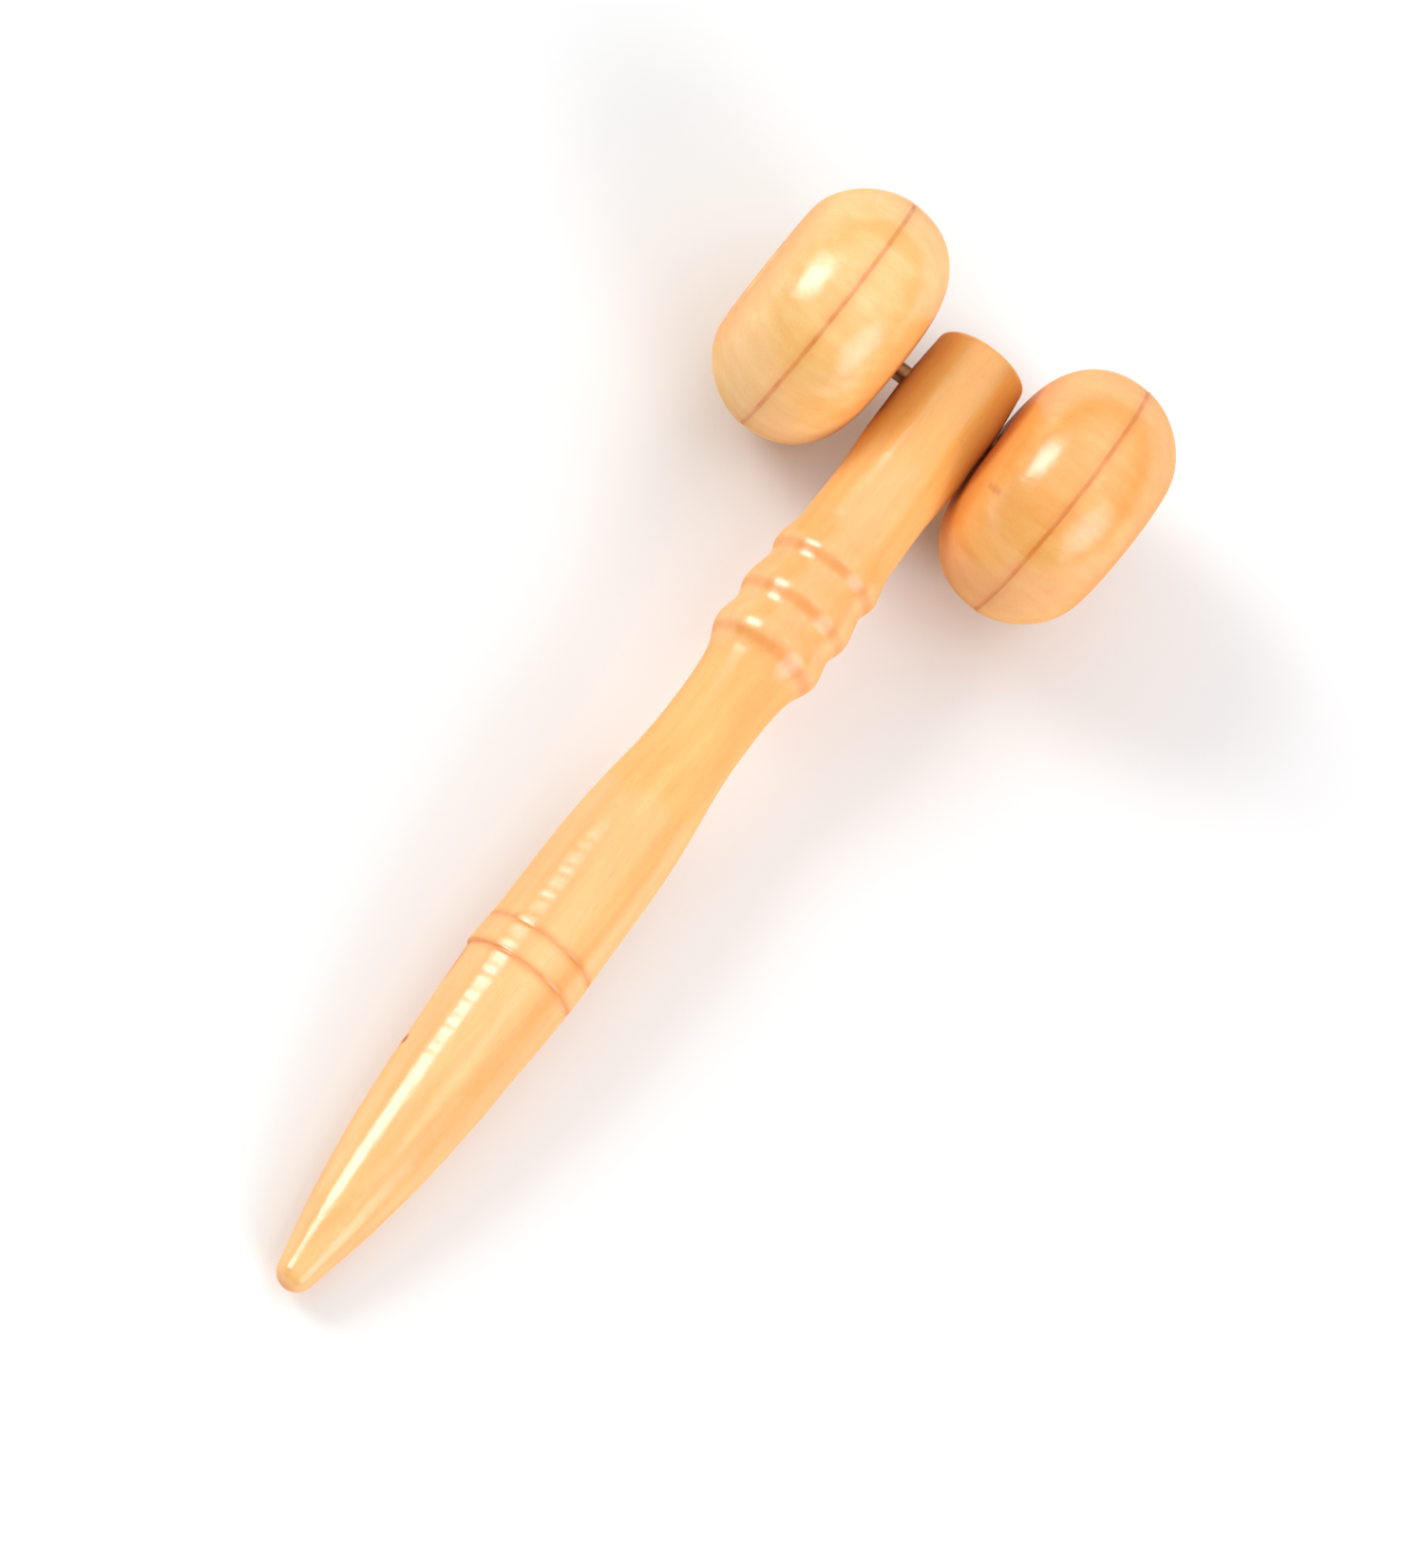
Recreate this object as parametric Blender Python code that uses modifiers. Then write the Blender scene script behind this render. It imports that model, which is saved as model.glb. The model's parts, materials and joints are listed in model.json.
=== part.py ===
"""Hand-held wooden foot massage roller: a turned handle whose head carries two barrel rollers.

The object lies as it would on a table. The rollers stand on the floor (Z = 0), and the handle
slopes down from them until it rests near its tip. +X runs towards the head, +Y to the left roller.

A steel axle passes through the head. Each roller turns on it and is kept on by a washer and a
push-on cap, which sit in a counterbore in the roller's outer face.
"""
import math

import bmesh
import bpy
from mathutils import Matrix

# Lengths are in millimetres, and the meshes are made in metres.
MM = 0.001
GAP = 0.3

# Handle. A station is a distance along its axis from the pointed tip.
HANDLE_LENGTH = 175.2
AXLE_STATION = 165.9
REST_STATION = 27.0
NOSE_RADIUS = 2.9
SWELL_KNOTS = (
    (2.8, 2.93), (11.5, 4.75), (21.0, 6.28), (32.0, 7.42), (44.0, 8.12), (57.0, 8.74), (69.0, 8.6),
    (79.0, 8.44), (88.0, 7.84), (96.5, 6.88), (103.5, 6.54), (110.0, 6.78), (115.0, 7.42),
)
SWELL_SPACING = 3.6
RING_STATIONS = (56.2, 61.4)
RING_WIDTH = 0.7
RING_DEPTH = 0.3
BEAD_EDGES = ((115.0, 7.42), (123.0, 8.2), (131.4, 8.12), (138.2, 7.95))
BEAD_CROWNS = (1.0, 0.75, 0.75)
BEAD_CRESTS = (0.43, 0.37, 0.34)
HEAD_RADIUS = 8.1
COVE_KNOTS = (
    (138.2, 7.95), (141.5, 7.8), (148.5, 7.74), (152.5, 7.9), (157.0, HEAD_RADIUS),
)
HEAD_TAPER_STATION = 165.0
HEAD_END_RADIUS = 7.4
HEAD_EDGE_RADIUS = 0.9

# Rollers. Each is a rounded barrel with a scored line, which lies nearer its outer face. Its two
# shoulders are superellipses: a fullness of 2 is an ellipse, and more is squarer.
ROLLER_RADIUS = 20.5
ROLLER_OUTER_HALF = 11.3
ROLLER_INNER_HALF = 12.8
OUTER_FACE_RADIUS = 10.6
INNER_FACE_RADIUS = 5.5
OUTER_FULLNESS = 1.78
INNER_FULLNESS = 2.35
SCORE_WIDTH = 0.7
SCORE_DEPTH = 0.35
ROLLER_FLOAT = 1.4

# Steel pieces on the axle.
AXLE_RADIUS = 1.5
AXLE_CHAMFER = 0.3
COUNTERBORE_RADIUS = 4.9
COUNTERBORE_DEPTH = 5.4
WASHER_RADIUS = 4.4
WASHER_THICKNESS = 0.8
CAP_RADIUS = 4.0
CAP_LENGTH = 2.4
CAP_CROWN = 0.7
CAP_EDGE_RADIUS = 0.9

# Smoothness of the turned pieces: flats round each one, and the angle that keeps an edge sharp.
HANDLE_STEPS = 40
ROLLER_STEPS = 56
SMALL_STEPS = 32
SHOULDER_STEPS = 8
BEAD_STEPS = 6
COVE_STEPS = 6
SHARP_ANGLE = math.radians(35)

# Places that follow from the sizes above, measured along the axle from the handle's axis.
BORE_RADIUS = AXLE_RADIUS + GAP
NEAR_SCORE = HEAD_RADIUS + GAP + ROLLER_INNER_HALF
FAR_SCORE = NEAR_SCORE + ROLLER_FLOAT
FAR_FLOOR = FAR_SCORE + ROLLER_OUTER_HALF - COUNTERBORE_DEPTH
CAP_BASE = FAR_FLOOR + GAP + WASHER_THICKNESS + GAP
AXLE_HALF = CAP_BASE + CAP_LENGTH - CAP_CROWN - GAP

# The left roller has floated out against its cap, and the right one rests against the head.
LEFT_SCORE = FAR_SCORE
RIGHT_SCORE = NEAR_SCORE


def smooth_curve(knots, position):
    """Height at a position on a smooth curve through the knots (cubic, with chord tangents)."""
    last = len(knots) - 1
    index = 0
    while index < last - 1 and position > knots[index + 1][0]:
        index += 1
    (x0, y0), (x1, y1) = knots[index], knots[index + 1]
    before = knots[max(index - 1, 0)]
    after = knots[min(index + 2, last)]
    slope0 = (y1 - before[1]) / (x1 - before[0])
    slope1 = (after[1] - y0) / (after[0] - x0)
    width = x1 - x0
    u = (position - x0) / width
    return (
        y0 * (1 + 2 * u) * (1 - u) ** 2
        + slope0 * width * u * (1 - u) ** 2
        + y1 * u * u * (3 - 2 * u)
        - slope1 * width * u * u * (1 - u)
    )


def arc(centre, radius, start, end, steps):
    """Points (radius, height) on an arc about a centre, from one angle to the other in degrees."""
    points = []
    for step in range(steps + 1):
        angle = math.radians(start + (end - start) * step / steps)
        points.append((centre[0] + radius * math.cos(angle), centre[1] + radius * math.sin(angle)))
    return points


def nose_outline():
    """The rounded tip, up to the first knot of the swell."""
    return [(0.0, 0.0)] + arc((0.0, NOSE_RADIUS), NOSE_RADIUS, -72, -16, 3)


def swell_outline():
    """The long swell of the grip, with its scored rings cut in."""
    start, end = SWELL_KNOTS[0][0], SWELL_KNOTS[-1][0]
    count = round((end - start) / SWELL_SPACING)
    stations = [start + (end - start) * step / count for step in range(count)]
    half = RING_WIDTH / 2
    clear = [s for s in stations if all(abs(s - ring) > RING_WIDTH for ring in RING_STATIONS)]
    outline = [(smooth_curve(SWELL_KNOTS, station), station) for station in clear]
    for ring in RING_STATIONS:
        radius = smooth_curve(SWELL_KNOTS, ring)
        outline += [(radius, ring - half), (radius - RING_DEPTH, ring), (radius, ring + half)]
    return sorted(outline, key=lambda point: point[1])


def bead_outline():
    """Three beads side by side. Each rises steeply to its crest and falls gently to the next.

    A crest is where the bead is highest, as a share of its length from the groove nearer the tip.
    """
    outline = []
    beads = zip(BEAD_EDGES, BEAD_EDGES[1:], BEAD_CROWNS, BEAD_CRESTS)
    for (start, start_radius), (end, end_radius), crown, crest in beads:
        skew = math.log(0.5) / math.log(crest)
        for step in range(BEAD_STEPS):
            u = step / BEAD_STEPS
            base = start_radius + (end_radius - start_radius) * u
            swell = crown * math.sin(math.pi * u ** skew)
            outline.append((base + swell, start + (end - start) * u))
    return outline


def cove_outline():
    """The shallow cove after the last bead, which runs out into the head's cylinder."""
    start, end = COVE_KNOTS[0][0], COVE_KNOTS[-1][0]
    stations = [start + (end - start) * step / COVE_STEPS for step in range(COVE_STEPS + 1)]
    return [(smooth_curve(COVE_KNOTS, station), station) for station in stations]


def head_outline():
    """The end of the head, which tapers past the axle to a flat end with a rounded edge."""
    edge = (HEAD_END_RADIUS - HEAD_EDGE_RADIUS, HANDLE_LENGTH - HEAD_EDGE_RADIUS)
    return (
        [(HEAD_RADIUS, HEAD_TAPER_STATION)]
        + arc(edge, HEAD_EDGE_RADIUS, 0, 90, 3)
        + [(0.0, HANDLE_LENGTH)]
    )


def handle_outline():
    """The whole side of the handle, with the axle's centre at height 0 and the head on top."""
    outline = nose_outline() + swell_outline() + bead_outline() + cove_outline() + head_outline()
    return [(radius, station - AXLE_STATION) for radius, station in reversed(outline)]


def shoulder(half, face_radius, fullness):
    """Points (radius, height) from a flat end's rim at a height of half, down towards height 0."""
    rise = ROLLER_RADIUS - face_radius
    points = []
    for step in range(SHOULDER_STEPS):
        angle = math.pi / 2 * step / SHOULDER_STEPS
        radius = face_radius + rise * math.sin(angle) ** (2 / fullness)
        points.append((radius, half * math.cos(angle) ** (2 / fullness)))
    return points


def roller_outline():
    """Closed section of a roller, outer face on top and the scored line at height 0."""
    half = SCORE_WIDTH / 2
    floor = ROLLER_OUTER_HALF - COUNTERBORE_DEPTH
    outer_side = shoulder(ROLLER_OUTER_HALF, OUTER_FACE_RADIUS, OUTER_FULLNESS)
    inner_side = shoulder(ROLLER_INNER_HALF, INNER_FACE_RADIUS, INNER_FULLNESS)
    return (
        [(COUNTERBORE_RADIUS, ROLLER_OUTER_HALF)]
        + outer_side
        + [(ROLLER_RADIUS, half), (ROLLER_RADIUS - SCORE_DEPTH, 0.0), (ROLLER_RADIUS, -half)]
        + [(radius, -height) for radius, height in reversed(inner_side)]
        + [(BORE_RADIUS, -ROLLER_INNER_HALF), (BORE_RADIUS, floor), (COUNTERBORE_RADIUS, floor)]
    )


def washer_outline():
    """Closed section of a flat washer, centred on its thickness."""
    half = WASHER_THICKNESS / 2
    return [
        (BORE_RADIUS, half), (WASHER_RADIUS, half), (WASHER_RADIUS, -half), (BORE_RADIUS, -half),
    ]


def cap_outline():
    """Side of a push-on cap with a rounded edge, open below where it grips the axle's end."""
    edge = (CAP_RADIUS - CAP_EDGE_RADIUS, CAP_LENGTH - CAP_EDGE_RADIUS)
    socket = CAP_LENGTH - CAP_CROWN
    return (
        [(0.0, CAP_LENGTH)] + arc(edge, CAP_EDGE_RADIUS, 90, 0, 3)
        + [(CAP_RADIUS, 0.0), (BORE_RADIUS, 0.0), (BORE_RADIUS, socket), (0.0, socket)]
    )


def clear_scene():
    for obj in list(bpy.data.objects):
        bpy.data.objects.remove(obj)


def make_collection(name):
    collection = bpy.data.collections.new(name)
    bpy.context.scene.collection.children.link(collection)
    return collection


def material(name, colour, roughness, metallic=0.0, coat=0.0):
    """A Principled BSDF with a plain colour."""
    made = bpy.data.materials.new(name)
    made.use_nodes = True
    shader = made.node_tree.nodes["Principled BSDF"]
    shader.inputs["Base Color"].default_value = (*colour, 1.0)
    shader.inputs["Roughness"].default_value = roughness
    shader.inputs["Metallic"].default_value = metallic
    shader.inputs["Coat Weight"].default_value = coat
    return made


def varnished_wood(name):
    return material(name, (0.86, 0.56, 0.27), roughness=0.35, coat=0.6)


def browned_steel(name):
    return material(name, (0.36, 0.22, 0.13), roughness=0.35, metallic=1.0)


def zinc_plate(name):
    return material(name, (0.70, 0.70, 0.72), roughness=0.35, metallic=1.0)


def finish(obj, surface):
    """Gives a round piece its material and smooth shading that keeps its real edges."""
    obj.data.materials.clear()
    obj.data.materials.append(surface)
    obj.data.shade_smooth()
    obj.data.set_sharp_from_angle(angle=SHARP_ANGLE)
    return obj


def apply_modifiers(obj):
    """Replaces an object's mesh with the one that its modifiers make."""
    graph = bpy.context.evaluated_depsgraph_get()
    mesh = bpy.data.meshes.new_from_object(obj.evaluated_get(graph))
    obj.modifiers.clear()
    obj.data = mesh
    mesh.name = obj.name


def turned(name, outline, steps, collection, ring=False):
    """A shape turned about local Z from a side outline that runs from top to bottom."""
    edges = [(index, index + 1) for index in range(len(outline) - 1)]
    if ring:
        edges.append((len(outline) - 1, 0))
    mesh = bpy.data.meshes.new(name)
    mesh.from_pydata([(radius * MM, 0.0, height * MM) for radius, height in outline], edges, [])
    obj = bpy.data.objects.new(name, mesh)
    collection.objects.link(obj)
    screw = obj.modifiers.new("turn", "SCREW")
    screw.axis = "Z"
    screw.angle = math.tau
    screw.steps = steps
    screw.render_steps = steps
    screw.use_merge_vertices = True
    screw.merge_threshold = 0.01 * MM
    apply_modifiers(obj)
    return obj


def cylinder(name, radius, length, collection):
    """A closed cylinder along local Z, centred on its origin."""
    bm = bmesh.new()
    bmesh.ops.create_cone(
        bm, cap_ends=True, segments=SMALL_STEPS, radius1=radius * MM, radius2=radius * MM,
        depth=length * MM,
    )
    mesh = bpy.data.meshes.new(name)
    bm.to_mesh(mesh)
    bm.free()
    obj = bpy.data.objects.new(name, mesh)
    collection.objects.link(obj)
    return obj


def chamfer_ends(obj, width):
    """A small chamfer on the sharp edges of a cylinder."""
    bevel = obj.modifiers.new("chamfer", "BEVEL")
    bevel.width = width * MM
    bevel.segments = 1
    bevel.limit_method = "ANGLE"
    bevel.angle_limit = math.radians(60)
    apply_modifiers(obj)


def along_axle(side, distance):
    """Frame on the axle whose Z points outwards. side is 1 for left (+Y) and -1 for right."""
    return (
        Matrix.Translation((AXLE_X * MM, (AXIS_Y + side * distance) * MM, ROLLER_RADIUS * MM))
        @ Matrix.Rotation(-side * math.pi / 2, 4, "X")
    )


def rest_pitch():
    """Angle at which the handle slopes down from the axle to touch the floor at REST_STATION."""
    radius = smooth_curve(SWELL_KNOTS, REST_STATION)
    arm = AXLE_STATION - REST_STATION
    return math.asin(ROLLER_RADIUS / math.hypot(arm, radius)) - math.atan2(radius, arm)


def make_handle(parts, cutters):
    """The turned handle, its head bored across for the axle."""
    handle = turned("handle", handle_outline(), HANDLE_STEPS, parts)
    handle.matrix_world = HANDLE_FRAME
    cutter = cylinder("axle_bore_cutter", BORE_RADIUS, 4 * HEAD_RADIUS, cutters)
    cutter.matrix_world = along_axle(1, 0.0)
    cutter.hide_render = True
    cutter.display_type = "WIRE"
    bore = handle.modifiers.new("axle_bore", "BOOLEAN")
    bore.operation = "DIFFERENCE"
    bore.solver = "EXACT"
    bore.object = cutter
    apply_modifiers(handle)
    return finish(handle, varnished_wood("handle_wood"))


def make_axle(parts):
    axle = cylinder("axle", AXLE_RADIUS, 2 * AXLE_HALF, parts)
    chamfer_ends(axle, AXLE_CHAMFER)
    axle.matrix_world = along_axle(1, 0.0)
    return finish(axle, browned_steel("axle_steel"))


def make_roller(side_name, side, score, parts):
    roller = turned(f"roller_{side_name}", roller_outline(), ROLLER_STEPS, parts, ring=True)
    roller.matrix_world = along_axle(side, score)
    return finish(roller, varnished_wood(f"roller_{side_name}_wood"))


def make_washer(side_name, side, score, parts):
    """The washer that lies on the floor of its roller's counterbore."""
    middle = score + ROLLER_OUTER_HALF - COUNTERBORE_DEPTH + GAP + WASHER_THICKNESS / 2
    washer = turned(f"washer_{side_name}", washer_outline(), SMALL_STEPS, parts, ring=True)
    washer.matrix_world = along_axle(side, middle)
    return finish(washer, zinc_plate(f"washer_{side_name}_zinc"))


def make_cap(side_name, side, parts):
    cap = turned(f"cap_{side_name}", cap_outline(), SMALL_STEPS, parts)
    cap.matrix_world = along_axle(side, CAP_BASE)
    return finish(cap, zinc_plate(f"cap_{side_name}_zinc"))


def build():
    clear_scene()
    parts = make_collection("foot_massage_roller")
    cutters = make_collection("cutters")
    cutters.hide_render = True
    make_handle(parts, cutters)
    make_axle(parts)
    for side_name, side, score in (("left", 1, LEFT_SCORE), ("right", -1, RIGHT_SCORE)):
        make_roller(side_name, side, score, parts)
        make_washer(side_name, side, score, parts)
        make_cap(side_name, side, parts)


# The object's box is centred on X and Y: it runs from the tip to the rollers' fronts, and from
# the right roller's outer face to the left one's. The nose is round, so its lowest X is a nose
# radius beyond the nose's centre.
PITCH = rest_pitch()
TIP_REACH = (AXLE_STATION - NOSE_RADIUS) * math.cos(PITCH) + NOSE_RADIUS
AXLE_X = (TIP_REACH - ROLLER_RADIUS) / 2
AXIS_Y = (RIGHT_SCORE - LEFT_SCORE) / 2
HANDLE_FRAME = (
    Matrix.Translation((AXLE_X * MM, AXIS_Y * MM, ROLLER_RADIUS * MM))
    @ Matrix.Rotation(math.pi / 2 - PITCH, 4, "Y")
)

build()
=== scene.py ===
"""Looks of the wooden foot massage roller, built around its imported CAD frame.

The handle and the rollers are turned again here with a fine surface: scored lines, lathe ripples,
softened edges and bored holes, in varnished hardwood. The steel pieces are turned again too.
"""
import json
import math

import bmesh
import bpy
import numpy as np
from mathutils import Matrix, Vector


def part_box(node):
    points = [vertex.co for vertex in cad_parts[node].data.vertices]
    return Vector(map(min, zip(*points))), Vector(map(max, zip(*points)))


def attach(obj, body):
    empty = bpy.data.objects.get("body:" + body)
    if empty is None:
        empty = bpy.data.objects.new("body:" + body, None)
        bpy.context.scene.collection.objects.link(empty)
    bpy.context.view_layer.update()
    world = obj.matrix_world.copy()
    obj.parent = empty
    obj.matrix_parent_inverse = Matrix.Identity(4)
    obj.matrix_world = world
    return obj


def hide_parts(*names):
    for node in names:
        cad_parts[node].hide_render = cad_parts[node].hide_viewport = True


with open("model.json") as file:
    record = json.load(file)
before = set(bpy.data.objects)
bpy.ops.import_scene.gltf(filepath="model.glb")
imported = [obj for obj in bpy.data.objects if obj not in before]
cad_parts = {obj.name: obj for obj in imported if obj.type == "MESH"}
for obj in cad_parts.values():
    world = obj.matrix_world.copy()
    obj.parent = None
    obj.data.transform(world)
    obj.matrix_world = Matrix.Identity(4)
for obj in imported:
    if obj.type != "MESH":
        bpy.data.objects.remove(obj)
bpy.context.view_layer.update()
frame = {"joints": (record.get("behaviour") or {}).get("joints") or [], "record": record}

# Lengths in this file are millimetres unless a name or a comment says otherwise.
MM = 0.001

# Handle. A station is a distance along its axis from the pointed tip. A side is an angle round the
# axis: 0 is underneath, a quarter turn is the left roller's side, and half a turn is the top.
# Knots are (station, radius), and arcs are the first and last angle in degrees and the steps.
HANDLE_LENGTH = 175.2
NOSE_RADIUS = 2.9
NOSE_ARC = (-90, -18, 16)
NOSE_CLEARANCE = 0.03
SURFACE_CLEARANCE = 0.03
HEAD_RADIUS = 8.08
SWELL_KNOTS = (
    (2.1, 2.79), (11.5, 4.75), (21.0, 6.28), (32.0, 7.42), (44.0, 8.12), (57.0, 8.74), (69.0, 8.6),
    (79.0, 8.44), (88.0, 7.84), (96.5, 6.88), (103.5, 6.56), (109.8, 6.67), (114.5, 7.30),
)
BEAD_KNOTS = (
    (118.6, 8.78), (122.9, 8.15), (126.1, 8.95), (131.2, 8.1), (133.9, 8.77), (138.2, 7.95),
)
COVE_KNOTS = ((141.5, 7.8), (148.5, 7.74), (152.5, 7.88), (157.0, HEAD_RADIUS))
SIDE_KNOTS = SWELL_KNOTS + BEAD_KNOTS + COVE_KNOTS
BEAD_WALLS = (116.6, 124.7, 132.5)
RING_STATIONS = (56.2, 61.4)
RING_HALF_WIDTH = 0.5
RING_DEPTH = 0.10
RING_POINTS = np.linspace(-1.4, 1.4, 15)
HEAD_TAPER_STATION = 165.0
HEAD_END_RADIUS = 7.4
HEAD_EDGE_RADIUS = 0.9
HEAD_EDGE_ARC = (8, 90, 10)
HEAD_FACE_RADII = np.linspace(6.2, 0.0, 12)

# Where the handle isn't quite round. The band between the rings stands out on one side, and the
# head on the other one. WAVES and CHATTER list (length, height) of ripples along the handle.
# LEDGE_DETAIL and LEDGE_STEP are the reach and the spacing of extra stations where the band rises.
LEDGE_HEIGHT = 0.4
LEDGE_SIDE = math.radians(86)
LEDGE_RISE = 0.5
LEDGE_PAST_RING = 1.5
LEDGE_FALL = 1.2
LEDGE_DETAIL = 0.6
LEDGE_STEP = 0.1
HEAD_BULGE = 0.27
BULGE_STATIONS = (148.5, 156.0, 168.0, 174.3)
BULGE_STRENGTHS = (0.0, 1.0, 1.0, 0.0)
WAVES = ((6.1, 0.008), (11.7, 0.018), (2.3, 0.002))
WAVE_PHASE = 1.0
CHATTER = ((2.3, 0.013), (1.55, 0.006))
CHATTER_STATIONS = (33.0, 40.0, 52.0, 60.0, 70.0, 82.0)
CHATTER_STRENGTHS = (0.0, 1.1, 1.4, 1.2, 0.9, 0.0)
CHATTER_SIDE = math.radians(149)
CHATTER_NARROWNESS = 1.5
CHATTER_LEAN = 0.6
CHATTER_LEAN_PHASE = 0.6

# Rollers. The scored line is the widest place, and the outer half is the shorter one. SCORE_POINTS
# and SCORE_CLEARING are in half widths of the line.
ROLLER_RADIUS = 20.5
ROLLER_OUTER_HALF = 11.3
ROLLER_INNER_HALF = 12.8
OUTER_FACE_RADIUS = 10.6
INNER_FACE_RADIUS = 5.5
OUTER_FACE_RADII = np.linspace(6.0, 10.0, 6)
INNER_FACE_RADII = (5.0, 4.0, 3.0)
OUTER_FULLNESS = 1.78
INNER_FULLNESS = 2.35
SCORE_HALF_WIDTH = 0.42
SCORE_DEPTH = 0.08
SCORE_POINTS = np.linspace(1.2, -1.2, 17)
SCORE_CLEARING = 1.3
LIP_SOFTNESS = 1.3
COUNTERBORE_RADIUS = 4.9
COUNTERBORE_DEPTH = 5.4
FLOOR_MIDDLE_RADIUS = 3.3
BORE_RADIUS = 1.8
HOLE_CHAMFER = 0.3

# Steel pieces.
AXLE_RADIUS = 1.5
AXLE_EDGE_RADIUS = 0.3
HEAD_BORE_RADIUS = 1.56
CUTTER_REACH = HEAD_RADIUS + 2
WASHER_RADIUS = 4.4
WASHER_THICKNESS = 0.8
CAP_RADIUS = 4.0
CAP_LENGTH = 2.4
CAP_CROWN = 0.7
CAP_EDGE_RADIUS = 0.9
CAP_DOME_FALL = 0.16
STEEL_EDGE = 0.12

# How finely the turned surfaces are divided, and what counts as a sharp edge.
HANDLE_SEGMENTS = 144
ROLLER_SEGMENTS = 192
STEEL_SEGMENTS = 72
STATION_STEP = 0.3
SHOULDER_STEPS = 64
SHARP_ANGLE = math.radians(40)
ON_AXIS = 0.0001

# Colours as a display shows them, 0 to 255 a channel. Each wood has a pale, a mid and a warm tone.
HANDLE_TONES = ((249, 194, 122), (247, 183, 108), (242, 160, 87))
LEFT_ROLLER_TONES = ((250, 204, 132), (247, 193, 116), (243, 169, 94))
RIGHT_ROLLER_TONES = ((248, 188, 108), (245, 177, 95), (238, 152, 70))
BROWN = (186, 92, 36)
SCORCH = (216, 112, 28)
AMBER = (234, 136, 50)
AXLE_COLOUR = (168, 120, 80)
AXLE_TARNISH = (112, 70, 38)
ZINC_COLOUR = (206, 206, 210)
ZINC_TARNISH = (168, 166, 162)
FLOOR_COLOUR = (241, 241, 241)

# The wood's figure. Each mask is noise, given by its scale across, across and along the grain, its
# detail, and the two values between which the mask goes from none to full. A year's ring is late
# wood over the LATE_SEASON part of its width.
FIGURES = {
    "patches": ((0.09, 0.09, 0.035), 3.0, 0.35, 0.65),
    "streaks": ((0.42, 0.42, 0.05), 4.0, 0.32, 0.68),
    "pores": ((5.0, 5.0, 0.4), 2.0, 0.64, 0.71),
    "flecks": ((1.3, 1.3, 0.25), 2.0, 0.60, 0.74),
    "blotches": ((0.3, 0.3, 0.3), 3.0, 0.3, 0.7),
}
FIBRE_SCALE = (2.8, 2.8, 0.13)
FIBRE_LINES = (0.35, 0.75)
SKIN_SCALE = (0.7, 0.7, 0.45)
YEAR_WIDTH = 2.7
YEAR_TAPER = 0.035
YEAR_WANDER = 11.0
YEAR_WANDER_SCALE = (0.06, 0.06, 0.014)
LATE_SEASON = (0.3, 0.97)
YEAR_END = (1.0, 0.95)
SEED_STEP = (31.0, 17.0, 53.0)

# Which masks shade the wood, in this order: how strongly, and towards which tone.
SHADING = (
    ("patches", 0.35, "warm"), ("late", 0.14, "warm"), ("fibre_lines", 0.20, "warm"),
    ("flecks", 0.12, "warm"), ("pores", 0.20, "brown"),
)
END_GRAIN = (0.72, 0.99)
END_GRAIN_WARMTH = 0.8
END_GRAIN_YEARS = 0.22
END_GRAIN_YEARS_FROM = 0.97

# Marks on the wood, some of them painted shade, as said below. Fades are distances from a mark's
# middle, in half widths: where it begins to show and where it is full. A fleck is (place, half
# length, half width, strength).
UNEVENNESS = 0.35
RING_MARK_STRENGTH = 0.45
RING_AMBER_STRENGTH = 0.4
# The amber on the bead walls is painted shade: those walls face the tip, away from the lights.
WALL_SHADE_HALF_WIDTH = 1.0
WALL_SHADE_STRENGTH = 0.6
SCORE_MARK_HALF_WIDTH = SCORE_HALF_WIDTH * 1.25
SCORE_MARK_STRENGTH = 0.8
AMBER_FADE = (1.3, 0.2)
SCORE_FADE = (1.2, 0.3)
HALO_FADE = (3.5, 0.8)
HALO_STRENGTH = 0.25
FLECK_FADE = (1.4, 0.4)
FLECK_RAGGEDNESS = 0.5
# The handle's first mark is a small dark fleck. Its second, long and faint, on the swell's left
# edge below the rings, is painted shade where the surface curves away.
HANDLE_FLECK_AND_EDGE_SHADE = (((-1.1, 7.75, 38.8), 1.2, 1.3, 1.0), ((-0.2, 8.6, 52.8), 4.5, 2.2, 0.4))
RIGHT_ROLLER_FLECKS = (
    ((-11.1, 10.7, -10.3), 0.8, 0.8, 0.4), ((-11.5, 11.5, -9.7), 0.9, 0.9, 0.45),
    ((-11.9, 12.3, -9.1), 0.8, 0.8, 0.35),
)
# A warmer, darker tint over the head: painted shade and orange bounce light from the rollers on
# either side, with some warmer wood.
HEAD_SHADE_STATIONS = (146.0, 158.0)
HEAD_SHADE_TINT = (1.0, 0.94, 0.64, 1.0)
# Painted shade where the rollers meet the head: the head's two sides and each roller's inner face
# turn dark brown.
HEAD_CONTACT_SHADE = ("Y", 7.4, 8.3)
HEAD_CONTACT_SHADE_STATIONS = (153.0, 159.0)
ROLLER_CONTACT_SHADE = ("Z", ROLLER_INNER_HALF - 0.9, ROLLER_INNER_HALF - 0.05)
CONTACT_SHADE_STRENGTH = 0.85

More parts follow.
